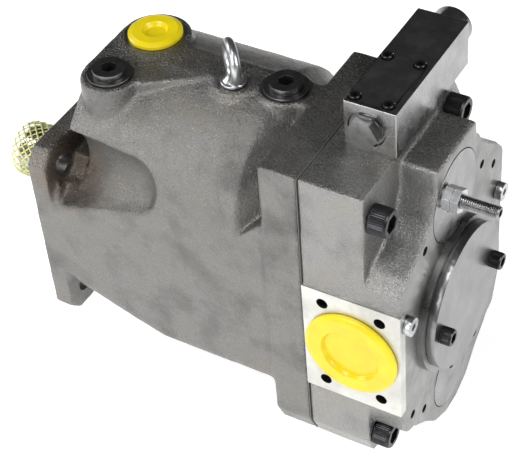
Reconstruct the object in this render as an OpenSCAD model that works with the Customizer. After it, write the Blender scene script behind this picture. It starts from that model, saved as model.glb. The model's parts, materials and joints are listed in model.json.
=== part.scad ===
// Axial piston pump with a variable swash plate.
// Frame: origin where the shaft axis meets the face of the mounting flange,
// +X to the rear cover, +Z up, suction port on the -Y side. Millimetres.

/* [Mounting flange] */
// Width and height of the square flange
flange_w = 189; // [182:0.5:192]
// Chamfer on the flange corners
flange_corner = 12; // [8:0.5:14]
// Thickness of the flange
flange_t = 18; // [14:0.5:22]
// Diameter of the centring pilot
pilot_d = 160; // [150:1:164]
// Height of the centring pilot
pilot_len = 9; // [6:0.5:12]
// Diameter of the circle through the four fixing holes
bolt_circle_d = 200; // [196:0.5:204]
// Diameter of the four fixing holes
bolt_hole_d = 18; // [14:0.5:20]

/* [Drive shaft] */
// Diameter of the shaft end
shaft_d = 45; // [38:0.5:45]
// Length of the shaft end in front of the flange
shaft_len = 80; // [76:1:82]
// Width of the parallel key
key_w = 14; // [10:1:14]
// Length of the parallel key
key_len = 60; // [40:1:62]
// Wall of the netting sleeve
sleeve_wall = 2; // [1.5:0.25:3]

/* [Housing] */
// Distance from the flange face to the joint with the port block
body_len = 266; // [264:0.5:268]
// Half width of the flat side walls
body_hw = 95; // [94:0.5:96]
// Height of the cast top face above the shaft axis
top_z = 165; // [164:0.5:166]
// Radius of the rounded belly
belly_r = 120; // [118:0.5:122]
// Start of the deep front shoulder with the drain ports
shoulder_x = 40; // [38:0.5:42]
// Half width of the flat strip along the top
strip_hw = 16; // [12:0.5:18]

/* [Port block] */
// Rear face of the port block
rear_x = 353.5; // [352:0.5:355]
// Front of the four screw pockets
pocket_x = 322; // [320:0.5:323]
// Width of the suction pad along the shaft axis
pad_w = 87; // [84:0.5:87]
// Height of the suction pad
pad_h = 115; // [110:0.5:118]
// Diameter of the suction port
suction_d = 63; // [56:0.5:63]
// Diameter of the pressure port
pressure_d = 32; // [28:0.5:33]

/* [Thru-drive cover] */
// Radius of the machined boss behind the cover
boss_r = 69.5; // [68:0.5:70]
// Radius of the cover
cover_r = 64; // [62:0.5:66]
// Thickness of the cover
cover_t = 7.5; // [6:0.5:9]
// Distance of each cover screw from the shaft axis
cover_screw_r = 49; // [48:0.5:53]

/* [Compensator] */
// Width of the compensator block along the shaft axis
comp_w = 44; // [42:0.5:46]
// Height of the compensator block
comp_h = 41; // [40:0.5:42]
// Length of the compensator block across the pump
comp_len = 129; // [126:0.5:130]

/* [Rotating group] */
// Number of pistons
piston_count = 9; // [9:1:9]
// Radius of the circle of the cylinder bores
bore_circle_r = 48; // [47.5:0.25:48.5]
// Piston diameter
piston_d = 25; // [24:0.25:25]
// Radial room between each piston and its bore
bore_room = 1; // [1:0.05:1.2]
// Outer radius of the cylinder barrel
barrel_r = 66; // [65:0.5:67]
// Centre of the swash plate's tilt, along the shaft axis
tilt_x = 162; // [161.5:0.25:162.5]

/* [Hidden] */
$fn = 96;
eps = 0.01;
fit = 0.15;
gap = 0.3;
pin_bolt = bolt_circle_d / 2 * sin(45);
// swash plate chamber
chamber_r = 78;
chamber_x = 100;
control_z = 106;
bias_z = -95;
control_way_r = 22;
bias_way_r = 18;
control_bore_r = 34;
bias_bore_r = 22;
servo_plug_r = 39;
bias_plug_r = 35.3;
// port pads and the holes round the ports, along the shaft axis and upwards
suction_x = 309.8;
pad_y = -99;
pressure_y = 99;
pressure_pad_w = 80;
pressure_pad_h = 96;
suction_holes = [50.8, 88.9];
pressure_holes = [31.8, 66.7];
// joint between the castings, and the M16 screws across it
block_y = 97;
collar_x = 231;
gasket_t = 0.5;
main_screws_yz = [[-80, 136], [54, 146], [-82, -107], [82, -107]];
screw_thread_r = 8.05;
screw_clear_r = 8.5;
pocket_r = 14;
// hollows behind the flange
scoop_y = 101;
scoop_z = 86;
scoop_r = 45;
scoop_end_r = 30;
scoop_len = 84;
scoop_lean = 7;
nut_seat_r = 17;
low_scoop_x = 50;
low_scoop_r = 27;
// lower taper, upper barrel and the waist behind it
taper_end_x = 119;
taper_start_r = 101;
barrel_z = 70;
barrel_end = 203;
waist_r = 80;
strip_x = 96;
// top ports and the eye bolt, as [x, y]
front_drain = [65, -45];
cap_drain = [71, 16];
rear_drain = [206, -1];
cap_drain_r = 16.5;
plug_r = 13;
rear_boss_r = 23;
eye_at = [164, -13];
eye_turn = -47;
eye_boss_r = 18;
eye_ring_z = 21;
eye_ring_r = 15.5;
eye_wire_r = 4.3;
// compensator
comp_x = 281;
comp_y = -45;
comp_z = 169;
comp_bolts = [[287, -37], [287, 17], [315, 17], [315, -37]];
comp_plug_af = 24;
hump_x = 304;
hump_z = 190.5;
spool_x = 300;
spool_z = 188;
// rear face
stop_y = -20;
stop_z = 122;
gauge_at = [87.5, 41.5];
small_holes_yz = [[52, 98], [76, 80], [-54, 92], [48, -96], [-77, -76], [-55, -92]];
cover_x = rear_x + 5;
cover_front = cover_x + 0.2 + cover_t;
// rotating group
ball_circle_r = bore_circle_r + 0.8;
slipper_h = 13;

// ---------- helpers ----------

// Extrudes a Y-Z outline along +X.
module along_x(x0, length) {
    translate([x0, 0, 0]) rotate([90, 0, 90]) linear_extrude(length) children();
}

module rod_x(x0, x1, r, y = 0, z = 0) {
    translate([x0, y, z]) rotate([0, 90, 0]) cylinder(r = r, h = x1 - x0);
}

module rod_y(y0, y1, r, x = 0, z = 0) {
    translate([x, y0, z]) rotate([-90, 0, 0]) cylinder(r = r, h = y1 - y0);
}

module rod_z(z0, z1, r, x = 0, y = 0) {
    translate([x, y, z0]) cylinder(r = r, h = z1 - z0);
}

module cone_x(x0, x1, r0, r1) {
    translate([x0, 0, 0]) rotate([0, 90, 0]) cylinder(r1 = r0, r2 = r1, h = x1 - x0);
}

module tube_x(x0, x1, r_out, r_in, y = 0, z = 0) {
    difference() {
        rod_x(x0, x1, r_out, y, z);
        rod_x(x0 - 1, x1 + 1, r_in, y, z);
    }
}

// A hexagonal prism along +X, af across flats.
module hex_x(x0, x1, af, y = 0, z = 0) {
    translate([x0, y, z]) rotate([0, 90, 0]) cylinder(d = af / cos(30), h = x1 - x0, $fn = 6);
}

// Socket head cap screw along +Z: the seat is at z = 0 and the head is above it.
module socket_screw(d, length) {
    head_r = 0.75 * d;
    difference() {
        union() {
            cylinder(r = head_r, h = d);
            translate([0, 0, -length]) cylinder(r = d / 2, h = length + eps);
        }
        translate([0, 0, d * 0.45]) cylinder(d = 0.85 * d / cos(30), h = d, $fn = 6);
    }
}

module screw_x(d, length, x, y, z) {
    translate([x, y, z]) rotate([0, 90, 0]) socket_screw(d, length);
}

// Repeats its child at the four fixing hole positions.
module at_flange_bolts() {
    for (sy = [-1, 1], sz = [-1, 1])
        translate([0, sy * pin_bolt, sz * pin_bolt]) children();
}

// Four holes at the corners of a rectangle on the Y face of a port pad.
module port_holes_y(y0, y1, r, dx, dz) {
    for (sx = [-1, 1], sz = [-1, 1])
        rod_y(y0, y1, r, suction_x + sx * dx / 2, sz * dz / 2);
}

// A vertical port with a narrow way down to the swash chamber.
module drain_port(at, r, z_bottom) {
    rod_z(z_bottom, top_z + 5, r, at[0], at[1]);
    rod_z(66, z_bottom + 1, 5, at[0], at[1]);
    rod_x(at[0], chamber_x + 5, 5, at[1], 66);
}

// A coil of round wire along +X, swept with 8 sides.
module coil_x(x0, x1, r_mid, wire_r, turns, y = 0, z = 0) {
    rings = turns * 9;
    sides = 8;
    points = [for (i = [0 : rings], j = [0 : sides - 1])
        let (a = 360 * turns * i / rings, b = 360 * j / sides, r = r_mid + wire_r * cos(b))
        [x0 + (x1 - x0) * i / rings + wire_r * sin(b), y + r * cos(a), z + r * sin(a)]];
    faces = concat(
        [[for (j = [0 : sides - 1]) j]],
        [for (i = [0 : rings - 1], j = [0 : sides - 1])
            let (k = (j + 1) % sides)
            [i * sides + j, (i + 1) * sides + j, (i + 1) * sides + k, i * sides + k]],
        [[for (j = [sides - 1 : -1 : 0]) rings * sides + j]]);
    polyhedron(points, faces);
}

// ---------- cast pieces ----------

module flange_outline() {
    h = flange_w / 2;
    c = flange_corner;
    polygon([[-h, -h + c], [-h + c, -h], [h - c, -h], [h, -h + c],
             [h, h - c], [h - c, h], [-h + c, h], [-h, h - c]]);
}

// Outline of the joint between the housing and the port block.
module joint_outline() {
    polygon([[-block_y + 2, top_z], [-block_y, 60], [-block_y, -108], [-88, -128], [-40, -140],
             [-12, -144], [12, -144], [40, -140], [88, -128], [block_y, -108],
             [block_y, 108], [66, top_z]]);
}

// Outline of the block between its screw pockets.
module rear_outline() {
    polygon([[-33, 155], [-34, 132], [-43, 112], [-57, 101], [-86, 88], [-block_y, 76],
             [-block_y, -62], [-87, -90], [-64, -104], [-50, -115], [-32, -134], [-12, -143],
             [12, -143], [32, -134], [50, -115], [64, -104], [87, -90], [block_y, -62],
             [block_y, 82], [84, 97], [50, 126], [44, 146], [36, 155]]);
}

// Hollows behind the flange that make room for the fixing screws.
module screw_scoops() {
    for (s = [-1, 1]) {
        translate([flange_t, s * scoop_y, scoop_z]) rotate([0, -scoop_lean, 0]) {
            rotate([0, 90, 0]) cylinder(r1 = scoop_r, r2 = scoop_end_r, h = scoop_len);
            translate([scoop_len, 0, 0]) sphere(r = scoop_end_r);
        }
        rod_x(flange_t, 2 * flange_t, nut_seat_r, s * pin_bolt, pin_bolt);
        rod_x(flange_t, low_scoop_x, low_scoop_r, s * pin_bolt, -pin_bolt);
        translate([low_scoop_x, s * pin_bolt, -pin_bolt]) sphere(r = low_scoop_r);
    }
}

module housing_outside() {
    along_x(0, flange_t) flange_outline();
    rod_x(-pilot_len, eps, pilot_d / 2);
    intersection() {
        union() {
            cone_x(flange_t - eps, taper_end_x, taper_start_r, belly_r);
            rod_x(taper_end_x - eps, collar_x, belly_r);
        }
        translate([0, -body_hw, -belly_r - 1]) cube([collar_x + eps, 2 * body_hw, belly_r + barrel_z + 1]);
    }
    rod_x(shoulder_x, barrel_end, body_hw, 0, barrel_z);
    translate([0, 0, barrel_z]) cone_x(barrel_end - eps, barrel_end + 16, body_hw, waist_r + 2);
    rod_x(barrel_end, collar_x + eps, waist_r, 0, barrel_z);
    // the side wall rises to the rear and fills the foot of the waist
    translate([0, body_hw - 0.5, 0]) rotate([90, 0, 0]) linear_extrude(2 * body_hw - 1)
        polygon([[170, 40], [collar_x + eps, 40], [collar_x + eps, 104], [196, 72], [170, 60]]);
    translate([strip_x, -strip_hw, 100])
        cube([collar_x + 1 - strip_x, 2 * strip_hw, top_z + 1 - 100]);
    // flat top round the two front ports, run back along the strip
    translate([0, 0, 60]) linear_extrude(top_z - 60)
        polygon([[shoulder_x, front_drain[1]], [strip_x, front_drain[1]], [140, -strip_hw],
                 [140, cap_drain[1]], [shoulder_x, cap_drain[1]]]);
    rod_z(60, top_z, front_drain[0] - shoulder_x, front_drain[0], front_drain[1]);
    rod_z(60, top_z + 1, cap_drain[0] - shoulder_x, cap_drain[0], cap_drain[1]);
    rod_z(100, top_z + 1, eye_boss_r, eye_at[0], eye_at[1]);
    rod_z(100, top_z + 1, rear_boss_r, rear_drain[0], rear_drain[1]);
    along_x(collar_x, body_len - collar_x - gasket_t) joint_outline();
}

module housing_inside() {
    rod_x(chamber_x, body_len, chamber_r);
    // cradle seats stay as two blocks in front of the swash plate
    rod_x(50 - eps, chamber_x + 1, 32);
    rod_x(17, 50, 55);
    rod_x(8, 18, 45);
    rod_x(-pilot_len - 1, 9, 36);
    // room for the swash plate's arms and the two actuating pistons
    translate([chamber_x + 8, -14, 0]) cube([100, 28, 121]);
    rod_x(150, body_len, control_way_r, 0, control_z);
    translate([chamber_x, -14, -108]) cube([100, 28, 100]);
    rod_x(150, body_len, bias_way_r, 0, bias_z);
    drain_port(cap_drain, cap_drain_r, 128);
    drain_port(front_drain, plug_r, 140);
    rod_z(140, top_z + 5, plug_r, rear_drain[0], rear_drain[1]);
    rod_z(140, top_z + 5, 5, eye_at[0], eye_at[1]);
    at_flange_bolts() rod_x(-1, flange_t + 1, bolt_hole_d / 2);
    for (p = main_screws_yz) rod_x(collar_x - 2, body_len, screw_thread_r, p[0], p[1]);
}

module pump_housing() color("dimgray") {
    difference() {
        housing_outside();
        screw_scoops();
        housing_inside();
    }
    difference() {
        for (s = [-1, 1])
            translate([chamber_x - eps, s * 53 - 15, -45]) cube([16, 30, 90]);
        rod_y(-80, 80, 59, tilt_x, 0);
        rod_x(chamber_x - 1, tilt_x, 34);
    }
}

module screw_pockets() {
    difference() {
        translate([pocket_x, -130, -160]) cube([rear_x - pocket_x + 1, 260, 340]);
        along_x(pocket_x - 1, rear_x - pocket_x + 3) rear_outline();
    }
}

module block_outside() {
    difference() {
        along_x(body_len, rear_x - body_len) joint_outline();
        screw_pockets();
        // the top falls away behind the compensator
        translate([329, -100, top_z]) rotate([0, 26, 0]) cube([60, 200, 40]);
    }
    rod_x(rear_x - eps, cover_x, boss_r);
    translate([suction_x - pad_w / 2, pad_y, -pad_h / 2]) cube([pad_w, 20, pad_h]);
    translate([suction_x - pressure_pad_w / 2, pressure_y - 20, -pressure_pad_h / 2])
        cube([pressure_pad_w, 20, pressure_pad_h]);
}

module block_inside() {
    // plugs at the rear and the bores in front of them
    rod_x(rear_x - 12, rear_x + 6, servo_plug_r + fit, 0, control_z);
    rod_x(285, rear_x, control_bore_r, 0, control_z);
    rod_x(body_len - 1, 286, 11, 0, control_z);
    rod_x(rear_x - 10.5, rear_x + 6, bias_plug_r + fit, 0, bias_z);
    rod_x(280, rear_x, bias_bore_r, 0, bias_z);
    rod_x(body_len - 1, 281, 12, 0, bias_z);
    // shaft bore, bearing seat and thru-drive pocket
    rod_x(body_len - 1, cover_x + 1, 19);
    rod_x(body_len - 1, 292, 26);
    rod_x(330, cover_x + 1, 41.3);
    // suction and pressure ports, each with a way to the valve plate
    rod_y(pad_y - 1, -38, suction_d / 2, suction_x, 0);
    rod_x(body_len - 1, suction_x, 14, -50, 0);
    rod_y(38, pressure_y + 1, pressure_d / 2, suction_x, 0);
    rod_x(body_len - 1, suction_x, 11, 50, 0);
    port_holes_y(pad_y - 1, pad_y + 26, 5.1, suction_holes[0], suction_holes[1]);
    port_holes_y(pressure_y - 28, pressure_y + 1, 6, pressure_holes[0], pressure_holes[1]);
    for (p = main_screws_yz) rod_x(body_len - 1, pocket_x + 1, screw_clear_r, p[0], p[1]);
    for (p = main_screws_yz) rod_x(pocket_x, rear_x + 1, pocket_r, p[0], p[1]);
    for (s = [-1, 1]) rod_x(cover_x - 24, cover_x + 1, 5.05, s * cover_screw_r, 0);
    for (p = comp_bolts) rod_z(top_z - 22, top_z + 1, 3.05, p[0], p[1]);
    for (s = [-1, 1]) rod_x(rear_x - 14, rear_x + 1, 5, s * gauge_at[0], gauge_at[1]);
    // small tapped holes round the rear face
    for (p = small_holes_yz)
        rod_x(rear_x - 12, rear_x + 1, 4, p[0], p[1]);
}

module port_block() color("gray") difference() {
    block_outside();
    block_inside();
}

module joint_gasket() color("darkslategray") difference() {
    along_x(body_len - gasket_t + eps, gasket_t - 2 * eps) joint_outline();
    rod_x(body_len - 2, body_len + 1, chamber_r);
    rod_x(body_len - 2, body_len + 1, control_way_r, 0, control_z);
    rod_x(body_len - 2, body_len + 1, bias_way_r, 0, bias_z);
    for (p = main_screws_yz) rod_x(body_len - 2, body_len + 1, screw_clear_r, p[0], p[1]);
}

module main_screws() color("black")
    for (p = main_screws_yz) screw_x(16, 85, pocket_x, p[0], p[1]);

// ---------- rear face ----------

module thru_drive_cover() color("silver") difference() {
    union() {
        rod_x(cover_x + 0.2, cover_front, cover_r);
        rod_x(348, cover_x + 0.3, 41.15);
    }
    rod_x(347, 354, 30);
    for (s = [-1, 1]) rod_x(cover_x, cover_front + 1, 5.5, s * cover_screw_r, 0);
}

module cover_screws() color("black")
    for (s = [-1, 1]) screw_x(10, 20, cover_front, s * cover_screw_r, 0);

module servo_plug() color("darkgray") difference() {
    rod_x(rear_x - 11.9, rear_x, servo_plug_r, 0, control_z);
    rod_x(rear_x - 13, rear_x + 1, 6.1, stop_y, stop_z);
    rod_x(rear_x - 6, rear_x + 1, 3, -12, 102);
}

module bias_plug() color("darkgray") difference() {
    rod_x(rear_x - 10.4, rear_x - eps, bias_plug_r, 0, bias_z);
    hex_x(rear_x - 6, rear_x + 1, 10, 0, -88.5);
}

module displacement_screw() color("gainsboro") difference() {
    rod_x(339.2, 400, 6, stop_y, stop_z);
    hex_x(393, 401, 6, stop_y, stop_z);
}

module displacement_locknut() color("whitesmoke") difference() {
    union() {
        rod_x(rear_x + eps, rear_x + 1.5, 9.4, stop_y, stop_z);
        hex_x(rear_x + 1.5, rear_x + 8, 19, stop_y, stop_z);
        rod_x(rear_x + 7.9, rear_x + 8.5, 8.6, stop_y, stop_z);
        hex_x(rear_x + 8.4, rear_x + 15, 19, stop_y, stop_z);
    }
    rod_x(rear_x - 1, rear_x + 16, 6.1, stop_y, stop_z);
}

module gauge_plugs() color("silver")
    for (s = [-1, 1]) difference() {
        union() {
            rod_x(rear_x - 12, rear_x + eps, 4.9, s * gauge_at[0], gauge_at[1]);
            rod_x(rear_x, rear_x + 6, 8, s * gauge_at[0], gauge_at[1]);
        }
        hex_x(rear_x + 2, rear_x + 7, 6, s * gauge_at[0], gauge_at[1]);
    }

// ---------- compensator ----------

module compensator_plate() color("gray") difference() {
    translate([comp_x + 1, comp_y + 1, top_z + eps])
        cube([comp_w - 2, 104, comp_z - top_z - 2 * eps]);
    for (p = comp_bolts) rod_z(top_z - 1, comp_z + 1, 3.3, p[0], p[1]);
}

module compensator_body() color("black") difference() {
    union() {
        translate([comp_x, comp_y, comp_z]) cube([comp_w, comp_len, comp_h]);
        rod_y(comp_y + comp_len - eps, comp_y + comp_len + 16, 17, hump_x, hump_z);
    }
    rod_y(comp_y - 1, comp_y + comp_len - 4, 8, spool_x, spool_z);
    rod_y(comp_y, comp_y + comp_len + 8, 4.15, spool_x, spool_z);
    rod_y(comp_y + comp_len + 4, comp_y + comp_len + 17, 9, spool_x, spool_z);
    rod_y(comp_y - 1, comp_y + 12, 9.15, spool_x, spool_z);
    rod_y(comp_y - 1, comp_y + 2, 15.5, spool_x, spool_z);
    for (p = comp_bolts) rod_z(comp_z - 1, comp_z + comp_h + 1, 3.3, p[0], p[1]);
    for (p = comp_bolts) rod_z(comp_z + comp_h - 4, comp_z + comp_h + 1, 5.3, p[0], p[1]);
}

module compensator_screws() color("black")
    for (p = comp_bolts)
        translate([p[0], p[1], comp_z + comp_h - 4]) socket_screw(6, 56);

module compensator_hex_plug() color("silver") {
    rod_y(comp_y + 1, comp_y + 11.9, 9, spool_x, spool_z);
    rod_y(comp_y - 1, comp_y + 1.9, 13.5, spool_x, spool_z);
    translate([spool_x, comp_y - 9, spool_z]) rotate([-90, 0, 0])
        cylinder(d = comp_plug_af / cos(30), h = 8.1, $fn = 6);
}

// Spool with two lands and a thin waist.
module compensator_spool() color("silver") {
    rod_y(comp_y + 16, comp_y + 34, 7.8, spool_x, spool_z);
    rod_y(comp_y + 33, comp_y + 48, 4, spool_x, spool_z);
    rod_y(comp_y + 47, comp_y + 64, 7.8, spool_x, spool_z);
}

module compensator_spring() color("silver")
    translate([spool_x, 0, spool_z]) rotate([0, 0, 90])
        coil_x(comp_y + 69, comp_y + 101, 5.6, 1.1, 8);

module pressure_adjuster() color("silver") {
    rod_y(comp_y + 104, comp_y + 118, 7.7, spool_x, spool_z);
    rod_y(comp_y + 117, comp_y + comp_len + 14, 4, spool_x, spool_z);
}

module pressure_locknut() color("whitesmoke") difference() {
    translate([spool_x, comp_y + comp_len + 4.1, spool_z]) rotate([-90, 0, 0])
        cylinder(d = 13 / cos(30), h = 7, $fn = 6);
    rod_y(comp_y + comp_len, comp_y + comp_len + 20, 4.15, spool_x, spool_z);
}

// ---------- top fittings ----------

// Forged eye bolt: threaded shank, round collar and a ring turned to the front.
module eye_bolt() color("gainsboro") translate([eye_at[0], eye_at[1], top_z + 1]) {
    translate([0, 0, -20]) cylinder(r = 4.95, h = 21);
    translate([0, 0, eps]) cylinder(r = 11, h = 3);
    translate([0, 0, 2.9]) cylinder(r1 = 9, r2 = 5, h = 4);
    translate([0, 0, eye_ring_z]) rotate([90, 0, eye_turn])
        rotate_extrude() translate([eye_ring_r, 0]) circle(r = eye_wire_r, $fn = 32);
}

module drain_plugs() color("dimgray")
    for (p = [front_drain, rear_drain]) {
        z0 = p == rear_drain ? top_z + 1 : top_z;
        translate([p[0], p[1], z0]) difference() {
            union() {
                translate([0, 0, -22]) cylinder(r = plug_r - 0.05, h = 22);
                translate([0, 0, 2.1]) cylinder(r = 14, h = 5);
                translate([0, 0, -1]) cylinder(r = 12, h = 4);
            }
            translate([0, 0, -6]) cylinder(d = 12 / cos(30), h = 14, $fn = 6);
        }
    }

module drain_plug_seals() color("black")
    for (p = [front_drain, rear_drain]) {
        z0 = p == rear_drain ? top_z + 1 : top_z;
        translate([p[0], p[1], z0 + 0.05]) difference() {
            cylinder(r = 19, h = 2);
            translate([0, 0, -1]) cylinder(r = 12.3, h = 4);
        }
    }

// A push-in plastic port plug along +Z: skirt, flange, raised rim and dished face.
module port_cap(skirt_r, flange_r, depth) {
    rotate_extrude() polygon([
        [0, -depth + 3], [skirt_r - 3, -depth + 3], [skirt_r - 3, -depth], [skirt_r, -depth],
        [skirt_r, 0], [flange_r, 0], [flange_r, 3], [flange_r - 4, 5], [skirt_r - 5, 5],
        [skirt_r - 7, 1], [0, 1]]);
}

module drain_port_cap() color("gold")
    translate([cap_drain[0], cap_drain[1], top_z + 1.1]) port_cap(16.1, 23.3, 14);

module suction_port_cap() color("gold")
    translate([suction_x, pad_y - 0.1, 0]) rotate([90, 0, 0]) port_cap(31, 41, 16);

module pressure_port_cap() color("gold")
    translate([suction_x, pressure_y + 0.1, 0]) rotate([-90, 0, 0]) port_cap(15.6, 24, 12);

// ---------- shaft line ----------

module drive_shaft() color("lightgray") difference() {
    union() {
        cone_x(-shaft_len, -shaft_len + 2, shaft_d / 2 - 2, shaft_d / 2);
        rod_x(-shaft_len + 2 - eps, 10, shaft_d / 2);
        rod_x(10 - eps, 19, 25);
        rod_x(19 - eps, 50, 27.5);
        rod_x(50 - eps, 56, 31);
        rod_x(56 - eps, 190, 20);
        rod_x(190 - eps, 250, 22);
        rod_x(250 - eps, 345, 17.5);
    }
    translate([-shaft_len + 8, -key_w / 2 - 0.02, shaft_d / 2 - 5.5])
        cube([key_len + 0.04, key_w + 0.04, 10]);
    // centring hole in the shaft end
    rod_x(-shaft_len - 1, -shaft_len + 22, 6);
}

module shaft_key() color("silver")
    translate([-shaft_len + 8.02, -key_w / 2, shaft_d / 2 - 5.5 + eps])
        cube([key_len, key_w, 6.6]);

// Netting sleeve pushed over the shaft end.
module shaft_sleeve() color("khaki")
    tube_x(-shaft_len - 5, -pilot_len - 4, shaft_d / 2 + 2.5 + sleeve_wall, shaft_d / 2 + 2.5);

module shaft_seal() color("saddlebrown")
    tube_x(-2, 8, 35.9, shaft_d / 2 + 0.3);

module front_bearing_outer() color("silver") tube_x(20, 49, 54.9, 47);

module front_bearing_inner() color("silver") tube_x(20, 49, 37, 27.6);

module front_bearing_rollers() color("silver") {
    tube_x(22, 47, 42.6, 41.4);
    for (i = [0 : 15]) rotate([360 / 16 * i, 0, 0]) rod_x(23, 46, 4.6, 0, 42);
}

module rear_bearing() color("silver") tube_x(268, 291, 25.95, 17.7);

// ---------- rotating group ----------

module at_bore(i) {
    rotate([360 / piston_count * (i - 1), 0, 0]) children();
}

module cylinder_barrel() color("goldenrod") difference() {
    rod_x(190, 258.4, barrel_r);
    rod_x(189, 260, 22.1);
    rod_x(189, 196, 30);
    for (i = [1 : piston_count]) at_bore(i) {
        rod_x(189, 253.5, piston_d / 2 + bore_room, 0, bore_circle_r);
        rod_x(253, 260, 7, 0, bore_circle_r);
    }
}

// Spherical collar that holds the retainer plate against the slippers.
module retainer_ball() color("silver") difference() {
    intersection() {
        translate([tilt_x, 0, 0]) sphere(r = 28);
        rod_x(tilt_x - 10, tilt_x + 16, 40);
    }
    rod_x(tilt_x - 20, tilt_x + 30, 20.1);
}

module valve_plate() color("goldenrod") difference() {
    rod_x(258.6, body_len - eps, 64);
    rod_x(257, 268, 24);
    for (s = [-1, 1], a = [-50 : 25 : 50])
        rotate([s * 90 + a, 0, 0]) rod_x(257, 268, 7, 0, bore_circle_r);
}

// Tilting swash plate: round running face, two cradle halves and two short arms.
module swash_plate() color("slategray") difference() {
    union() {
        rod_x(tilt_x - 27, tilt_x - slipper_h - 0.1, 66);
        // the cradle halves are rounded to clear the chamber wall at every angle
        intersection() {
            rod_y(-67, 67, 56, tilt_x, 0);
            translate([tilt_x - 60, -67, -60]) cube([46, 134, 120]);
            translate([tilt_x, 0, 0]) sphere(r = chamber_r - 1.2);
        }
        translate([tilt_x - 27, -9, 0]) cube([17, 18, 114]);
        translate([tilt_x - 27, -9, -103]) cube([17, 18, 103]);
    }
    // the slippers run inside the arms
    rod_x(tilt_x - slipper_h - 0.1, tilt_x + 1, 66);
    // room for the shaft at every angle
    translate([tilt_x - 61, -36, -60]) cube([61 - 27, 72, 120]);
    rod_x(tilt_x - 40, tilt_x, 31);
}

module cradle_liners() color("goldenrod")
    for (s = [-1, 1]) intersection() {
        translate([0, s * 53, 0]) difference() {
            rod_y(-12, 12, 58.8, tilt_x, 0);
            rod_y(-13, 13, 56.3, tilt_x, 0);
        }
        translate([chamber_x + 1, -80, -36]) cube([14, 160, 72]);
    }

module retainer_plate() color("silver") difference() {
    rod_x(tilt_x - 8.7, tilt_x - 4.7, 66);
    translate([tilt_x, 0, 0]) sphere(r = 28.3);
    for (i = [1 : piston_count]) at_bore(i)
        rod_x(tilt_x - 10, tilt_x, 12.6, 0, ball_circle_r);
}

module piston(i) color("silver") at_bore(i) difference() {
    union() {
        translate([tilt_x, 0, ball_circle_r]) sphere(r = 8.8);
        rod_x(tilt_x, tilt_x + 18, 5.5, 0, ball_circle_r);
        rod_x(tilt_x + 17, tilt_x + 76, piston_d / 2, 0, ball_circle_r);
    }
    rod_x(tilt_x + 30, tilt_x + 77, 7, 0, ball_circle_r);
}

// Slipper shoe: flat running disc with the socket of the ball joint.
module slipper(i) color("goldenrod") at_bore(i) difference() {
    union() {
        rod_x(tilt_x - slipper_h, tilt_x - 9, 15, 0, ball_circle_r);
        rod_x(tilt_x - 9.1, tilt_x + 3, 11.8, 0, ball_circle_r);
    }
    translate([tilt_x, 0, ball_circle_r]) sphere(r = 9);
    rod_x(tilt_x, tilt_x + 4, 8.6, 0, ball_circle_r);
    rod_x(tilt_x - slipper_h - 1, tilt_x, 1.5, 0, ball_circle_r);
    translate([tilt_x - slipper_h - eps, 0, ball_circle_r]) rotate([0, 90, 0])
        cylinder(r = 8, h = 0.5);
}

// ---------- displacement control ----------

module control_piston() color("silver") {
    translate([tilt_x - 10 + 12 + gap, 0, control_z]) sphere(r = 12);
    rod_x(tilt_x + 4, 287, 9, 0, control_z);
    rod_x(286, 310, control_bore_r - gap, 0, control_z);
}

module bias_piston() color("silver") difference() {
    union() {
        translate([tilt_x - 10 + 12 + 0.5, 0, bias_z]) sphere(r = 12);
        rod_x(tilt_x + 4, 309, 9, 0, bias_z);
        rod_x(308, 336, bias_bore_r - gap, 0, bias_z);
    }
    rod_x(316, 337, 17, 0, bias_z);
}

module bias_spring() color("silver")
    coil_x(319.5, 340.5, 13, 1.8, 4, 0, bias_z);

// ---------- the assembly ----------

pump_housing();
port_block();
joint_gasket();
main_screws();
thru_drive_cover();
cover_screws();
servo_plug();
bias_plug();
displacement_screw();
displacement_locknut();
compensator_plate();
compensator_body();
compensator_screws();
compensator_hex_plug();
compensator_spool();
compensator_spring();
pressure_adjuster();
pressure_locknut();
eye_bolt();
drain_plugs();
drain_plug_seals();
drain_port_cap();
suction_port_cap();
pressure_port_cap();
gauge_plugs();
shaft_sleeve();
drive_shaft();
shaft_key();
shaft_seal();
front_bearing_outer();
front_bearing_inner();
front_bearing_rollers();
rear_bearing();
cylinder_barrel();
retainer_ball();
valve_plate();
swash_plate();
cradle_liners();
retainer_plate();
control_piston();
bias_piston();
bias_spring();
for (i = [1 : piston_count]) piston(i);
for (i = [1 : piston_count]) slipper(i);
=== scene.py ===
"""Looks of the axial piston pump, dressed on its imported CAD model."""

import json
import math

import bmesh
import bpy
import numpy as np
from mathutils import Matrix, Vector, noise

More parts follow.
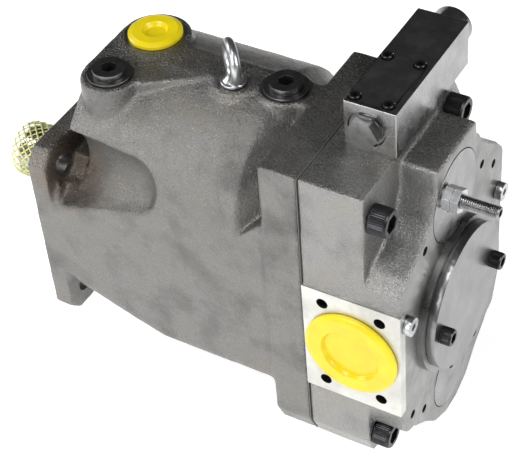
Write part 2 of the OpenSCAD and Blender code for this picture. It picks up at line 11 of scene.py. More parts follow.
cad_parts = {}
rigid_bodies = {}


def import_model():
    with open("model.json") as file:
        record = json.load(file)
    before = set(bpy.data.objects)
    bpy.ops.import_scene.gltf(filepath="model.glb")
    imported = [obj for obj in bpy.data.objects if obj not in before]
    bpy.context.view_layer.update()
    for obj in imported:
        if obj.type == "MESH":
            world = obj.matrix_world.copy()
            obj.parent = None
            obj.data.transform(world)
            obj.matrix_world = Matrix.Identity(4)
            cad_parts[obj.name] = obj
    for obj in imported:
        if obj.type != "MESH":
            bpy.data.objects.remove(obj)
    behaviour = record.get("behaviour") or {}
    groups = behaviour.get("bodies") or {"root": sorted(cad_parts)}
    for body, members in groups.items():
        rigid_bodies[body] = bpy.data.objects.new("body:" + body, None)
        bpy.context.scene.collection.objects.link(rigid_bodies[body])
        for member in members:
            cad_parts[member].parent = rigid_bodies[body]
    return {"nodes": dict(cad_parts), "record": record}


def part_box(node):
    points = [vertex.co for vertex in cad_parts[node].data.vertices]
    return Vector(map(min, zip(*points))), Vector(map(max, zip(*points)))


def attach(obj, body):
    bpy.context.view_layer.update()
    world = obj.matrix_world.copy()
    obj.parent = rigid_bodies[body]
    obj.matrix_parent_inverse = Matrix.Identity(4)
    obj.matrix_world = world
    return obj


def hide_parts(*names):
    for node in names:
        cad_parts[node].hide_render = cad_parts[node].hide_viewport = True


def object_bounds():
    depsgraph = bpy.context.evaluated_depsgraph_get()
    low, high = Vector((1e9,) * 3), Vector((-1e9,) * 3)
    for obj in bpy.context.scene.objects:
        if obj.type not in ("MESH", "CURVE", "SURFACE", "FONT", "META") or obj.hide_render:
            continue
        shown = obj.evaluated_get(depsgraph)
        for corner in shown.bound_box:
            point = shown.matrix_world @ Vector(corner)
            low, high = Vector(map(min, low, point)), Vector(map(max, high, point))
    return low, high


for leftover in list(bpy.data.objects):
    bpy.data.objects.remove(leftover)
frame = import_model()
CAD_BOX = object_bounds()
MM = 0.001
WELD = 0.00001

# ---------- sizes, in millimetres, in the CAD frame ----------

TOP_Z = 165
JOINT_X = 266
REAR_X = 353.5
COVER_X = 358.5
BOSS_R = 69.5
PORT_X = 309.8
SUCTION_Y = -99
PRESSURE_Y = 99
BOLT = 70.7
CONTROL_Z = 106
BIAS_Z = -95
SUCTION_R = 31.5
PRESSURE_R = 16
FLANGE_HOLE_R = 9
PLUG_R = 13
CAP_PORT_R = 16.5
EYE_R = 5
GAUGE_R = 5
SMALL_HOLE_R = 4
# the two round plugs of the rear face sit in recesses with a thin dark gap round them
CONTROL_RECESS_R = 39.8
BIAS_RECESS_R = 36.1
FRONT_PLUG = (65, -45)
CAP_PORT = (71, 16)
REAR_PLUG = (206, -1)
EYE = (164, -13)
MAIN_SCREWS = ((-80, 136), (54, 146), (-82, -107), (82, -107))
SMALL_HOLES = ((52, 98), (76, 80), (-54, 92), (48, -96), (-77, -76), (-55, -92))
GAUGE = (87.5, 41.5)
POCKET_X = 322
COVER_SCREW_Y = 49
# half widths and half heights of the port pads, then half the spacing of the holes on them
SUCTION_PAD = (43.5, 57.5)
PRESSURE_PAD = (40, 48)
SUCTION_HOLES = (25.4, 44.45)
PRESSURE_HOLES = (15.9, 33.35)
# a block as far out as this holds the whole pump
FAR = 250
# how far a machined face lies under the cast skin, and less at the joint
TRIM = 0.35
JOINT_TRIM = 0.12
# castings: remesh size, and the share of faces kept
CAST_VOXEL = 1.6
CAST_KEPT = 0.45


# ---------- camera, lights and floor ----------

CAMERA_AT = Vector((0.7413, -0.8706, 0.9614))
AZIMUTH = math.radians(33.56)
ELEVATION = math.radians(42.87)
ROLL = math.radians(-5.42)
LENS = 113.54


def add_camera():
    data = bpy.data.cameras.new("camera")
    data.lens = LENS
    data.sensor_width = 36
    camera = bpy.data.objects.new("camera", data)
    back = Vector((
        math.sin(AZIMUTH) * math.cos(ELEVATION),
        -math.cos(AZIMUTH) * math.cos(ELEVATION),
        math.sin(ELEVATION),
    ))
    level = Vector((math.cos(AZIMUTH), math.sin(AZIMUTH), 0))
    up = back.cross(level)
    right = math.cos(ROLL) * level + math.sin(ROLL) * up
    top = -math.sin(ROLL) * level + math.cos(ROLL) * up
    turn = Matrix((right, top, back)).transposed()
    camera.matrix_world = Matrix.Translation(CAMERA_AT) @ turn.to_4x4()
    bpy.context.scene.collection.objects.link(camera)
    bpy.context.scene.camera = camera


def add_light(name, azimuth, elevation, distance, size, power):
    """An area light that looks at the middle of the pump. Azimuth 0 is on the -Y side."""
    data = bpy.data.lights.new(name, "AREA")
    data.shape = "DISK"
    data.size = size
    data.energy = power
    light = bpy.data.objects.new(name, data)
    a = math.radians(azimuth)
    e = math.radians(elevation)
    way = Vector((math.sin(a) * math.cos(e), -math.cos(a) * math.cos(e), math.sin(e)))
    target = (CAD_BOX[0] + CAD_BOX[1]) / 2
    light.location = target + way * distance
    light.rotation_euler = way.to_track_quat("Z", "Y").to_euler()
    bpy.context.scene.collection.objects.link(light)


def add_world(level):
    world = bpy.data.worlds.new("studio")
    world.use_nodes = True
    world.node_tree.nodes["Background"].inputs["Color"].default_value = (1, 1, 1, 1)
    world.node_tree.nodes["Background"].inputs["Strength"].default_value = level
    bpy.context.scene.world = world


def add_floor(material):
    size = 4.0
    mesh = bpy.data.meshes.new("floor")
    corners = [(-size, -size), (size, -size), (size, size), (-size, size)]
    low = CAD_BOX[0].z - 0.001
    mesh.from_pydata([(x, y, low) for x, y in corners], [], [(0, 1, 2, 3)])
    floor = bpy.data.objects.new("floor", mesh)
    mesh.materials.append(material)
    bpy.context.scene.collection.objects.link(floor)


# ---------- materials ----------

def shader(name, color, metallic, roughness):
    """A new material with a Principled shader, and helpers for its node tree."""
    material = bpy.data.materials.new(name)
    material.use_nodes = True
    principled = material.node_tree.nodes["Principled BSDF"]
    principled.inputs["Base Color"].default_value = (*color, 1)
    principled.inputs["Metallic"].default_value = metallic
    principled.inputs["Roughness"].default_value = roughness
    return material, principled


def object_noise(tree, scale, detail=2.0, rough=0.5):
    where = tree.nodes.new("ShaderNodeTexCoord")
    texture = tree.nodes.new("ShaderNodeTexNoise")
    texture.inputs["Scale"].default_value = scale
    texture.inputs["Detail"].default_value = detail
    texture.inputs["Roughness"].default_value = rough
    tree.links.new(where.outputs["Object"], texture.inputs["Vector"])
    return texture.outputs["Fac"]


def ramp(tree, value, stops):
    """Maps a value to colours; each stop is (position, colour or grey level)."""
    node = tree.nodes.new("ShaderNodeValToRGB")
    node.color_ramp.elements[0].position = stops[0][0]
    node.color_ramp.elements[1].position = stops[-1][0]
    for stop in stops[1:-1]:
        node.color_ramp.elements.new(stop[0])
    for element, stop in zip(node.color_ramp.elements, stops):
        tone = stop[1] if isinstance(stop[1], tuple) else (stop[1],) * 3
        element.color = (*tone, 1)
    tree.links.new(value, node.inputs["Fac"])
    return node.outputs["Color"]


def bump(tree, principled, height, strength, distance, under=None):
    node = tree.nodes.new("ShaderNodeBump")
    node.inputs["Strength"].default_value = strength
    node.inputs["Distance"].default_value = distance
    tree.links.new(height, node.inputs["Height"])
    if under is not None:
        tree.links.new(under, node.inputs["Normal"])
    tree.links.new(node.outputs["Normal"], principled.inputs["Normal"])
    return node.outputs["Normal"]


STAIN_BROWN = (0.17, 0.12, 0.08)
STAIN_AT = (0.03, -0.074, 0.072)


def stain_near(tree, color, point):
    """Browns a colour near a point, with an uneven edge."""
    where = tree.nodes.new("ShaderNodeTexCoord")
    away = tree.nodes.new("ShaderNodeVectorMath")
    away.operation = "DISTANCE"
    away.inputs[1].default_value = point
    tree.links.new(where.outputs["Object"], away.inputs[0])
    uneven = tree.nodes.new("ShaderNodeMath")
    uneven.operation = "MULTIPLY_ADD"
    uneven.inputs[1].default_value = 0.03
    tree.links.new(object_noise(tree, 60, 3, 0.6), uneven.inputs[0])
    tree.links.new(away.outputs["Value"], uneven.inputs[2])
    amount = ramp(tree, uneven.outputs["Value"], ((0.02, 0.8), (0.06, 0.0)))
    mix = tree.nodes.new("ShaderNodeMix")
    mix.data_type = "RGBA"
    tree.links.new(amount, mix.inputs["Factor"])
    tree.links.new(color, mix.inputs["A"])
    mix.inputs["B"].default_value = (*STAIN_BROWN, 1)
    return mix.outputs["Result"]


def cast_iron(name, dark, light, grain, sparkle, stain=None):
    """Sand-cast iron: blotchy tone, sandy grain, bright specks and a brown oil stain about a point."""
    material, principled = shader(name, dark, 0.95, 0.4)
    tree = material.node_tree
    warm = (light[0] * 1.03, light[1] * 0.99, light[2] * 0.93)
    stops = ((0.3, dark), (0.52, light), (0.7, warm))
    blotch = ramp(tree, object_noise(tree, 22, 4, 0.6), stops)
    if stain is not None:
        blotch = stain_near(tree, blotch, stain)
    tree.links.new(blotch, principled.inputs["Base Color"])
    gloss = ramp(tree, object_noise(tree, 900, 2, 0.6), ((0.35, 0.2), (0.65, 0.44)))
    tree.links.new(gloss, principled.inputs["Roughness"])
    coarse = bump(tree, principled, object_noise(tree, 520, 3, 0.6), grain, 0.0011)
    bump(tree, principled, object_noise(tree, 1500, 2, 0.7), sparkle, 0.0004, coarse)
    return material


def machined(name, color, roughness, scratch=0.08):
    """Ground or milled steel: fine lines one way and faint stains."""
    material, principled = shader(name, color, 1.0, roughness)
    tree = material.node_tree
    where = tree.nodes.new("ShaderNodeTexCoord")
    stretch = tree.nodes.new("ShaderNodeMapping")
    stretch.inputs["Scale"].default_value = (1, 1, 14)
    lines = tree.nodes.new("ShaderNodeTexNoise")
    lines.inputs["Scale"].default_value = 160
    lines.inputs["Detail"].default_value = 3
    tree.links.new(where.outputs["Object"], stretch.inputs["Vector"])
    tree.links.new(stretch.outputs["Vector"], lines.inputs["Vector"])
    bump(tree, principled, lines.outputs["Fac"], scratch, 0.0004)
    shade = tuple(0.78 * c for c in color)
    tone = ramp(tree, object_noise(tree, 35, 5, 0.6), ((0.35, shade), (0.62, color)))
    tree.links.new(tone, principled.inputs["Base Color"])
    low = max(roughness - 0.07, 0.05)
    gloss = ramp(tree, object_noise(tree, 60, 4, 0.6), ((0.35, low), (0.65, roughness + 0.1)))
    tree.links.new(gloss, principled.inputs["Roughness"])
    return material


def turned(name, color, roughness):
    """Lathe-turned steel: fine rings about the shaft axis."""
    material, principled = shader(name, color, 1.0, roughness)
    tree = material.node_tree
    where = tree.nodes.new("ShaderNodeTexCoord")
    rings = tree.nodes.new("ShaderNodeTexWave")
    rings.wave_type = "RINGS"
    rings.rings_direction = "X"
    rings.inputs["Scale"].default_value = 260
    rings.inputs["Distortion"].default_value = 0.4
    tree.links.new(where.outputs["Object"], rings.inputs["Vector"])
    bump(tree, principled, rings.outputs["Fac"], 0.12, 0.0003)
    shade = tuple(0.75 * c for c in color)
    tone = ramp(tree, object_noise(tree, 30, 4, 0.6), ((0.35, shade), (0.65, color)))
    tree.links.new(tone, principled.inputs["Base Color"])
    return material


def plated(name, color, roughness, metallic=1.0):
    """Zinc plate or black oxide: a smooth skin with small changes in tone and gloss."""
    material, principled = shader(name, color, metallic, roughness)
    tree = material.node_tree
    shade = tuple(0.7 * c for c in color)
    tone = ramp(tree, object_noise(tree, 140, 3, 0.6), ((0.35, shade), (0.6, color)))
    tree.links.new(tone, principled.inputs["Base Color"])
    bump(tree, principled, object_noise(tree, 700, 2, 0.6), 0.1, 0.0003)
    return material


def plastic(name, color, roughness, glow):
    """Moulded plastic that lets a little light in."""
    material, principled = shader(name, color, 0.0, roughness)
    principled.inputs["Subsurface Weight"].default_value = glow
    principled.inputs["Subsurface Radius"].default_value = (0.004, 0.003, 0.001)
    tree = material.node_tree
    shade = tuple(0.88 * c for c in color)
    tone = ramp(tree, object_noise(tree, 60, 3, 0.5), ((0.35, shade), (0.65, color)))
    tree.links.new(tone, principled.inputs["Base Color"])
    bump(tree, principled, object_noise(tree, 240, 2, 0.5), 0.06, 0.0006)
    return material


def rubber(name):
    material, principled = shader(name, (0.018, 0.018, 0.018), 0.0, 0.6)
    tree = material.node_tree
    gloss = ramp(tree, object_noise(tree, 300, 3, 0.6), ((0.3, 0.5), (0.7, 0.75)))
    tree.links.new(gloss, principled.inputs["Roughness"])
    bump(tree, principled, object_noise(tree, 900, 2, 0.6), 0.15, 0.0003)
    return material


FLOOR_GLOW = 0.6


def floor_paint(name):
    material, principled = shader(name, (0.9, 0.9, 0.9), 0.0, 0.7)
    tree = material.node_tree
    tone = ramp(tree, object_noise(tree, 3, 2, 0.5), ((0.3, 0.89), (0.7, 0.91)))
    tree.links.new(tone, principled.inputs["Base Color"])
    principled.inputs["Emission Color"].default_value = (1, 1, 1, 1)
    principled.inputs["Emission Strength"].default_value = FLOOR_GLOW
    return material


MATERIALS = {
    "cast_housing": cast_iron("cast_housing", (0.13, 0.127, 0.122), (0.21, 0.207, 0.2), 1.0, 1.0, STAIN_AT),
    "cast_block": cast_iron("cast_block", (0.2, 0.198, 0.193), (0.28, 0.278, 0.272), 0.9, 0.9),
    "machined_iron": machined("machined_iron", (0.27, 0.27, 0.265), 0.34),
    "pad_face": machined("pad_face", (0.64, 0.635, 0.6), 0.42),
    "compensator_iron": machined("compensator_iron", (0.36, 0.36, 0.36), 0.24),
    "machined_steel": machined("machined_steel", (0.3, 0.3, 0.3), 0.3),
    "cover_steel": turned("cover_steel", (0.28, 0.28, 0.285), 0.32),
    "bearing_steel": machined("bearing_steel", (0.6, 0.6, 0.6), 0.2),
    "spring_steel": plated("spring_steel", (0.35, 0.35, 0.37), 0.3),
    "zinc_dark": plated("zinc_dark", (0.3, 0.3, 0.3), 0.28),
    "zinc_plate": plated("zinc_plate", (0.56, 0.57, 0.58), 0.34),
    "plug_steel": plated("plug_steel", (0.2, 0.2, 0.2), 0.34),
    "black_oxide": plated("black_oxide", (0.03, 0.03, 0.033), 0.32, 0.7),
    "gasket": plastic("gasket", (0.16, 0.158, 0.15), 0.6, 0.0),
    "seal_rubber": rubber("seal_rubber"),
    "yellow_plastic": plastic("yellow_plastic", (0.78, 0.62, 0.006), 0.3, 0.1),
    "netting": plastic("netting", (0.7, 0.7, 0.3), 0.4, 0.1),
    "bronze": machined("bronze", (0.6, 0.38, 0.16), 0.3),
}


# ---------- mesh helpers, all sizes in millimetres ----------

TURN_X = Matrix.Rotation(math.radians(90), 4, "Y")
TURN_Y = Matrix.Rotation(math.radians(-90), 4, "X")
TURN_Z = Matrix.Identity(4)


def rod(bm, turn, low, high, r, at, sides=72):
    """A closed cylinder along the turned +Z axis; at is the point where low is 0."""
    place = Matrix.Translation(Vector(at) * MM) @ turn @ Matrix.Translation((0, 0, (low + high) / 2 * MM))
    bmesh.ops.create_cone(
        bm, cap_ends=True, segments=sides, radius1=r * MM, radius2=r * MM,
        depth=(high - low) * MM, matrix=place,
    )


def rod_x(bm, x0, x1, r, y=0, z=0, sides=72):
    rod(bm, TURN_X, x0, x1, r, (0, y, z), sides)


def rod_y(bm, y0, y1, r, x=0, z=0, sides=72):
    rod(bm, TURN_Y, y0, y1, r, (x, 0, z), sides)


def rod_z(bm, z0, z1, r, x=0, y=0, sides=72):
    rod(bm, TURN_Z, z0, z1, r, (x, y, 0), sides)


def block(bm, low, high):
    middle = [(a + b) / 2 * MM for a, b in zip(low, high)]
    size = [(b - a) * MM for a, b in zip(low, high)]
    place = Matrix.Translation(middle) @ Matrix.Diagonal((*size, 1))
    bmesh.ops.create_cube(bm, size=1, matrix=place)


def ring_x(bm, x0, x1, r_in, r_out, sides=96):
    """A closed washer about the shaft axis."""
    rings = []
    for x, r in ((x0, r_in), (x0, r_out), (x1, r_out), (x1, r_in)):
        turn = [2 * math.pi * i / sides for i in range(sides)]
        rings.append([bm.verts.new((x * MM, r * MM * math.cos(a), r * MM * math.sin(a))) for a in turn])
    for j in range(4):
        near, far = rings[j], rings[(j + 1) % 4]
        for i in range(sides):
            k = (i + 1) % sides
            bm.faces.new((near[i], far[i], far[k], near[k]))
    bmesh.ops.recalc_face_normals(bm, faces=bm.faces)


def object_from(bm, name):
    mesh = bpy.data.meshes.new(name)
    bm.to_mesh(mesh)
    bm.free()
    obj = bpy.data.objects.new(name, mesh)
    bpy.context.scene.collection.objects.link(obj)
    return obj


def solid(name, build):
    """A helper object from a function that fills a bmesh."""
    bm = bmesh.new()
    build(bm)
    return object_from(bm, name)


def skin(bm, rings):
    """Joins rings of points into a closed tube."""
    for near, far in zip(rings, rings[1:]):
        for j in range(len(near)):
            k = (j + 1) % len(near)
            bm.faces.new((near[j], near[k], far[k], far[j]))
    bm.faces.new(rings[0][::-1])
    bm.faces.new(rings[-1])


def bake(piece):
    """Turns the piece's modifiers into its mesh."""
    bpy.context.view_layer.update()
    graph = bpy.context.evaluated_depsgraph_get()
    mesh = bpy.data.meshes.new_from_object(piece.evaluated_get(graph))
    piece.modifiers.clear()
    piece.data = mesh


def boolean(piece, tool, operation):
    modifier = piece.modifiers.new("boolean", "BOOLEAN")
    modifier.object = tool
    modifier.operation = operation
    modifier.solver = "MANIFOLD"
    bake(piece)
    bpy.data.objects.remove(tool)


def paint(obj, *names):
    obj.data.materials.clear()
    for name in names:
        obj.data.materials.append(MATERIALS[name])


def shade_smooth(obj, angle=35):
    """Smooth shading, with edges over the angle kept sharp."""
    obj.data.polygons.foreach_set("use_smooth", [True] * len(obj.data.polygons))
    obj.data.set_sharp_from_angle(angle=math.radians(angle))


def welded_copy(node, name):
    bm = bmesh.new()
    bm.from_mesh(frame["nodes"][node].data)
    bmesh.ops.remove_doubles(bm, verts=bm.verts, dist=WELD)
    return object_from(bm, name)


def remesh(piece, voxel, rounds):
    """Rounds every edge: an even mesh of small squares, smoothed a number of times."""
    even = piece.modifiers.new("remesh", "REMESH")
    even.mode = "VOXEL"
    even.voxel_size = voxel * MM
    smooth = piece.modifiers.new("smooth", "SMOOTH")
    smooth.factor = 0.5
    smooth.iterations = rounds
    bake(piece)


# ---------- castings ----------

def soften(piece, voxel, rounds, waves):
    """Rounds every edge like a sand casting and adds faint waves to the skin."""
    remesh(piece, voxel, rounds)
    count = len(piece.data.vertices)
    places = np.zeros(count * 3, np.float32)
    normals = np.zeros(count * 3, np.float32)
    piece.data.vertices.foreach_get("co", places)
    piece.data.vertices.foreach_get("normal", normals)
    places = places.reshape(-1, 3)
    swell = np.array([noise.fractal(Vector(p) * 70, 1.0, 2.0, 3) for p in places])
    places += normals.reshape(-1, 3) * (swell * waves * MM)[:, None]
    piece.data.vertices.foreach_set("co", places.ravel())
    piece.data.update()


def tool_with_face(name, build, face_index):
    """A boolean tool whose faces bring in one of the casting's materials."""
    tool = solid(name, build)
    tool.data.polygons.foreach_set("material_index", [face_index] * len(tool.data.polygons))
    return tool


def thin_out(piece, ratio):
    decimate = piece.modifiers.new("decimate", "DECIMATE")
    decimate.ratio = ratio
    bake(piece)


def make_housing():
    piece = welded_copy("pump_housing", "housing_casting")

    def fill(bm):
        # holes are filled before the softening, and cut again after it with sharp edges
        for sy in (-1, 1):
            for sz in (-1, 1):
                rod_x(bm, 0.5, 17.5, FLANGE_HOLE_R + 0.5, sy * BOLT, sz * BOLT)
        rod_z(bm, 130, TOP_Z + 1, CAP_PORT_R + 0.5, *CAP_PORT)
        rod_z(bm, 141, TOP_Z, PLUG_R + 0.5, *FRONT_PLUG)
        rod_z(bm, 141, TOP_Z + 1, PLUG_R + 0.5, *REAR_PLUG)
        rod_z(bm, 139, TOP_Z + 1, EYE_R + 0.5, *EYE)

    boolean(piece, solid("housing_fill", fill), "UNION")
    soften(piece, CAST_VOXEL, 14, 0.25)
    thin_out(piece, CAST_KEPT)
    paint(piece, "cast_housing", "machined_iron")

    def cut(bm):
        for sy in (-1, 1):
            for sz in (-1, 1):
                rod_x(bm, -3, 30, FLANGE_HOLE_R, sy * BOLT, sz * BOLT)
        rod_z(bm, 130, TOP_Z + 9, CAP_PORT_R, *CAP_PORT)
        rod_z(bm, 141, TOP_Z + 9, PLUG_R, *FRONT_PLUG)
        rod_z(bm, 141, TOP_Z + 9, PLUG_R, *REAR_PLUG)
        rod_z(bm, 139, TOP_Z + 9, EYE_R, *EYE)

    def face(bm):
        block(bm, (JOINT_X - 0.5 - JOINT_TRIM, -FAR, -FAR), (JOINT_X + 20, FAR, FAR))
        ring_x(bm, -6, TRIM, 80.2, 150)
        rod_x(bm, -20, -9 + TRIM, 100)

    def spot_faces(bm):
        rod_z(bm, TOP_Z + 1 - TRIM, TOP_Z + 12, 26.5, *CAP_PORT)
        rod_z(bm, TOP_Z - TRIM, TOP_Z + 12, 20.5, *FRONT_PLUG)
        rod_z(bm, TOP_Z + 1 - TRIM, TOP_Z + 12, 21.5, *REAR_PLUG)
        rod_z(bm, TOP_Z + 1 - TRIM, TOP_Z + 12, 12.5, *EYE)

    for name, build in (("bores", cut), ("faces", face), ("spot_faces", spot_faces)):
        boolean(piece, tool_with_face("housing_" + name, build, 1), "DIFFERENCE")
    shade_smooth(piece)
    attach(piece, "casing")
    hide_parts("pump_housing")


def pad_block(bm, pad, y0, y1, inset=0.0):
    half_w, half_h = (half - inset for half in pad)
    block(bm, (PORT_X - half_w, y0, -half_h), (PORT_X + half_w, y1, half_h))


def make_block():
    piece = welded_copy("port_block", "port_block_casting")

    def fill(bm):
        pad_block(bm, SUCTION_PAD, SUCTION_Y + 2.2, SUCTION_Y + 30, 0.1)
        pad_block(bm, PRESSURE_PAD, PRESSURE_Y - 30, PRESSURE_Y - 2.2, 0.1)
        # the recesses of the rear face are filled, and cut again after the softening
        rod_x(bm, 342, REAR_X - 0.2, 39.5, 0, CONTROL_Z)
        rod_x(bm, 342, REAR_X - 0.2, 36, 0, BIAS_Z)
        rod_x(bm, 331, REAR_X - 0.2, 60)
        for s in (-1, 1):
            rod_x(bm, REAR_X - 15, REAR_X - 0.2, GAUGE_R + 0.5, s * GAUGE[0], GAUGE[1])
        for y, z in SMALL_HOLES:
            rod_x(bm, REAR_X - 13, REAR_X - 0.2, SMALL_HOLE_R + 0.5, y, z)

    def outside_cut(bm):
        ring_x(bm, REAR_X - TRIM, REAR_X + 20, 0.5, 160)
        block(bm, (JOINT_X - 20, -FAR, -FAR), (JOINT_X + JOINT_TRIM, FAR, FAR))
        # the raised pads come off here and go back on as machined pieces
        block(bm, (260, -130, -80), (360, SUCTION_Y + 1.8, 80))
        block(bm, (260, PRESSURE_Y - 1.8, -80), (360, 130, 80))

    def pads(bm):
        pad_block(bm, SUCTION_PAD, SUCTION_Y + TRIM, SUCTION_Y + 9)
        pad_block(bm, PRESSURE_PAD, PRESSURE_Y - 9, PRESSURE_Y - TRIM)

    def boss(bm):
        rod_x(bm, REAR_X - 5, COVER_X - 0.1, BOSS_R, sides=128)

    def bores(bm):
        rod_x(bm, REAR_X - 12, REAR_X + 9, CONTROL_RECESS_R, 0, CONTROL_Z, 96)
        rod_x(bm, REAR_X - 10.5, REAR_X + 9, BIAS_RECESS_R, 0, BIAS_Z, 96)
        rod_x(bm, 280, REAR_X - 8, 22.2, 0, BIAS_Z, 96)
        rod_x(bm, JOINT_X - 5, 281, 12.2, 0, BIAS_Z)
        rod_x(bm, 330, REAR_X + 9, 41.3, sides=96)
        for s in (-1, 1):
            rod_x(bm, REAR_X - 14, REAR_X + 9, GAUGE_R, s * GAUGE[0], GAUGE[1])
            rod_x(bm, COVER_X - 24, COVER_X + 5, 5.05, s * COVER_SCREW_Y, 0)
        for y, z in SMALL_HOLES:
            rod_x(bm, REAR_X - 12, REAR_X + 9, SMALL_HOLE_R, y, z, 32)
        for y, z in MAIN_SCREWS:
            rod_x(bm, POCKET_X, REAR_X + 9, 13.8, y, z)

    def port_holes(bm):
        rod_y(bm, SUCTION_Y - 5, -60, SUCTION_R, PORT_X, 0, 96)
        rod_y(bm, 60, PRESSURE_Y + 5, PRESSURE_R, PORT_X, 0, 96)
        for sx in (-1, 1):
            for sz in (-1, 1):
                x, z = PORT_X + sx * SUCTION_HOLES[0], sz * SUCTION_HOLES[1]
                rod_y(bm, SUCTION_Y - 5, -76, 5.1, x, z, 40)
                x, z = PORT_X + sx * PRESSURE_HOLES[0], sz * PRESSURE_HOLES[1]
                rod_y(bm, 74, PRESSURE_Y + 5, 6, x, z, 40)

    boolean(piece, solid("block_fill", fill), "UNION")
    soften(piece, CAST_VOXEL, 9, 0.15)
    thin_out(piece, CAST_KEPT)
    paint(piece, "cast_block", "machined_iron", "pad_face")
    boolean(piece, tool_with_face("block_outside", outside_cut, 1), "DIFFERENCE")
    boolean(piece, tool_with_face("block_boss", boss, 1), "UNION")
    boolean(piece, tool_with_face("block_pads", pads, 2), "UNION")
    boolean(piece, tool_with_face("block_bores", bores, 1), "DIFFERENCE")
    boolean(piece, tool_with_face("block_ports", port_holes, 1), "DIFFERENCE")
    shade_smooth(piece)
    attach(piece, "casing")
    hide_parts("port_block")



# ---------- pieces made here ----------

def make_netting():
    """Two layers of slanting plastic strands round the shaft end, as in extruded netting."""
    low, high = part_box("shaft_sleeve")
    x0, x1 = low.x / MM, high.x / MM
    r_mid = (high.z / MM) - 1.4
    strands, steps, sides, twist = 20, 44, 6, math.radians(165)
    bm = bmesh.new()
    for layer in (-1, 1):
        for s in range(strands):
            start = 2 * math.pi * s / strands
            rings = []
            for i in range(steps + 1):
                t = i / steps
                end_curl = max(0.0, 1 - t * 9) ** 2
                r = r_mid + layer * 0.45 - 2.6 * end_curl
                a = start + layer * twist * t
                centre = Vector((x0 + (x1 - x0) * t, r * math.cos(a), r * math.sin(a)))
                out = Vector((0, math.cos(a), math.sin(a)))
                along = Vector((x1 - x0, -layer * twist * r * math.sin(a), layer * twist * r * math.cos(a)))
                side = along.normalized().cross(out)
                ring = []
                for j in range(sides):
                    b = 2 * math.pi * j / sides
                    spot = centre + side * (0.8 * math.cos(b)) + out * (0.6 * math.sin(b))
                    ring.append(bm.verts.new(spot * MM))
                rings.append(ring)
            skin(bm, rings)
    bmesh.ops.recalc_face_normals(bm, faces=bm.faces)
    piece = object_from(bm, "netting_sleeve")
    paint(piece, "netting")
    shade_smooth(piece, 60)
    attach(piece, "sleeve")
    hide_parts("shaft_sleeve")


def thread_mesh(name, r, pitch, length, chamfer):
    """A threaded stud along +X from 0 to length, closed at both ends."""
    around, per_turn = 40, 8
    rows = int(length / pitch * per_turn)
    depth = 0.55 * pitch
    bm = bmesh.new()
    rings = []
    for i in range(rows + 1):
        x = length * i / rows
        end = min(x, length - x)
        ring = []
        for j in range(around):
            a = 2 * math.pi * j / around
            saw = abs(((x / pitch - j / around) % 1.0) * 2 - 1)
            cut = depth * min(1.0, max(0.0, 1.35 * saw - 0.1))
            radius = min(r - cut, r - chamfer + end) if end < chamfer else r - cut
            ring.append(bm.verts.new((x * MM, radius * MM * math.cos(a), radius * MM * math.sin(a))))
        rings.append(ring)
    skin(bm, rings)
    bmesh.ops.recalc_face_normals(bm, faces=bm.faces)
    return object_from(bm, name)


def make_stop_screw():
    low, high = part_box("displacement_screw")
    length = (high.x - low.x) / MM
    piece = thread_mesh("stop_screw_thread", 6, 1.75, length, 1.2)
    piece.data.transform(Matrix.Translation((low + high) / 2 - Vector((length / 2 * MM, 0, 0))))
    middle = (low + high) / 2 / MM

    def socket(bm):
        rod_x(bm, high.x / MM - 6, high.x / MM + 2, 3.4, middle.y, middle.z, 6)

    boolean(piece, solid("stop_screw_socket", socket), "DIFFERENCE")
    paint(piece, "zinc_dark")
    shade_smooth(piece, 50)
    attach(piece, "stop_screw")
    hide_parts("displacement_screw")


def screw_rings(bm, d, length):
    """A socket head cap screw along +Z with its seat at 0: shank, knurled head and chamfer."""
    teeth = 44
    around = teeth * 2
    head = 0.75 * d
    flat, knurled = 0.0, 0.022 * d
    profile = (
        (-length, 0.44 * d, flat), (-length + 0.06 * d, 0.5 * d, flat), (-0.02, 0.5 * d, flat),
        (0.0, head - 0.05 * d, flat), (0.04 * d, head, flat), (0.1 * d, head, knurled),
        (0.84 * d, head, knurled), (0.9 * d, head, flat), (d, head - 0.07 * d, flat),
    )
    rings = []
    for z, r, tooth in profile:
        ring = []
        for j in range(around):
            a = 2 * math.pi * j / around
            radius = r - tooth * (j % 2)
            ring.append(bm.verts.new((radius * MM * math.cos(a), radius * MM * math.sin(a), z * MM)))
        rings.append(ring)
    skin(bm, rings)


def make_screws(node, d, length, turn, seats):
    """The screws of one CAD node, each with its seat at one of the places given."""
    bm = bmesh.new()
    sockets = bmesh.new()
    for seat in seats:
        place = Matrix.Translation(Vector(seat) * MM) @ turn
        one = bmesh.new()
        screw_rings(one, d, length)
        hole = bmesh.new()
        rod(hole, TURN_Z, 0.48 * d, 1.3 * d, 0.425 * d / math.cos(math.radians(30)), (0, 0, 0), 6)
        for part, whole in ((one, bm), (hole, sockets)):
            part.transform(place)
            mesh = bpy.data.meshes.new("part")
            part.to_mesh(mesh)
            part.free()
            whole.from_mesh(mesh)
            bpy.data.meshes.remove(mesh)
    bmesh.ops.recalc_face_normals(bm, faces=bm.faces)
    piece = object_from(bm, node + "_knurled")
    boolean(piece, object_from(sockets, node + "_sockets"), "DIFFERENCE")
    paint(piece, "black_oxide")
    shade_smooth(piece, 12)
    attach(piece, "casing")
    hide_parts(node)


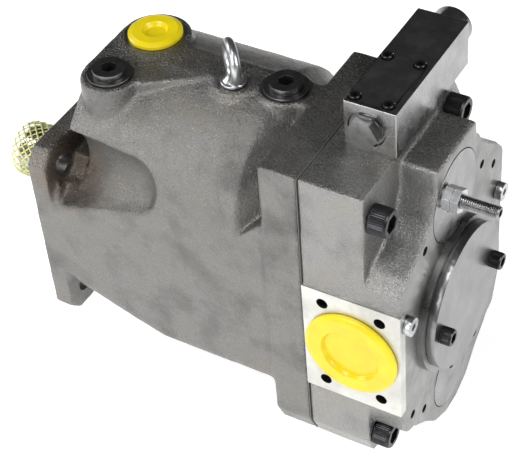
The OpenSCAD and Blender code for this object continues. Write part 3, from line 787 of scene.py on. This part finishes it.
def make_all_screws():
    make_screws("main_screws", 16, 85, TURN_X, [(POCKET_X, y, z) for y, z in MAIN_SCREWS])
    cover_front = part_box("thru_drive_cover")[1].x / MM
    make_screws("cover_screws", 10, 20, TURN_X, [(cover_front, s * COVER_SCREW_Y, 0) for s in (-1, 1)])
    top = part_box("compensator_body")[1].z / MM
    seats = [(x, y, top - 4) for x in (287, 315) for y in (-37, 17)]
    make_screws("compensator_screws", 6, 56, TURN_Z, seats)


def make_eye_bolt():
    """The forged eye, with its ring run smoothly into the collar."""
    piece = welded_copy("eye_bolt", "eye_bolt_forging")
    remesh(piece, 0.7, 6)
    paint(piece, "zinc_plate")
    shade_smooth(piece, 60)
    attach(piece, "casing")
    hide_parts("eye_bolt")


# ---------- the CAD nodes that stay ----------

# widths of the bevels, in millimetres
BEVELS = {
    "thru_drive_cover": 0.8, "compensator_body": 0.7, "compensator_hex_plug": 0.6,
    "displacement_locknut": 0.5, "pressure_locknut": 0.4, "drain_plugs": 0.6,
    "gauge_plugs": 0.5, "servo_plug": 0.3, "bias_plug": 0.3, "suction_port_cap": 1.0,
    "drain_port_cap": 0.9, "pressure_port_cap": 0.8, "drain_plug_seals": 0.3,
    "drive_shaft": 0.4, "shaft_key": 0.4,
}


def dress_nodes():
    """Gives each CAD node its material, and softened edges where they catch the light."""
    slots = {s["node"]: s["material_slot"] for s in frame["record"]["subparts"]}
    for name, obj in frame["nodes"].items():
        obj.data.materials.clear()
        obj.data.materials.append(MATERIALS[slots[name]])
        obj.data.polygons.foreach_set("material_index", [0] * len(obj.data.polygons))
        if name in BEVELS:
            weld = obj.modifiers.new("weld", "WELD")
            weld.merge_threshold = WELD
            bevel = obj.modifiers.new("bevel", "BEVEL")
            bevel.width = BEVELS[name] * MM
            bevel.segments = 2
            bevel.limit_method = "ANGLE"
            bevel.angle_limit = math.radians(40)
            bevel.harden_normals = True


add_camera()
add_world(0.06)
add_floor(floor_paint("floor_paint"))
add_light("key", -15, 30, 2.4, 1.4, 38)
add_light("side", 85, 30, 2.4, 1.2, 36)
add_light("front", -80, 30, 2.4, 1.2, 24)
add_light("glint", 15, 70, 2.4, 0.3, 12)
bpy.context.scene.view_settings.view_transform = "Standard"

make_housing()
make_block()
make_netting()
make_stop_screw()
make_all_screws()
make_eye_bolt()
dress_nodes()
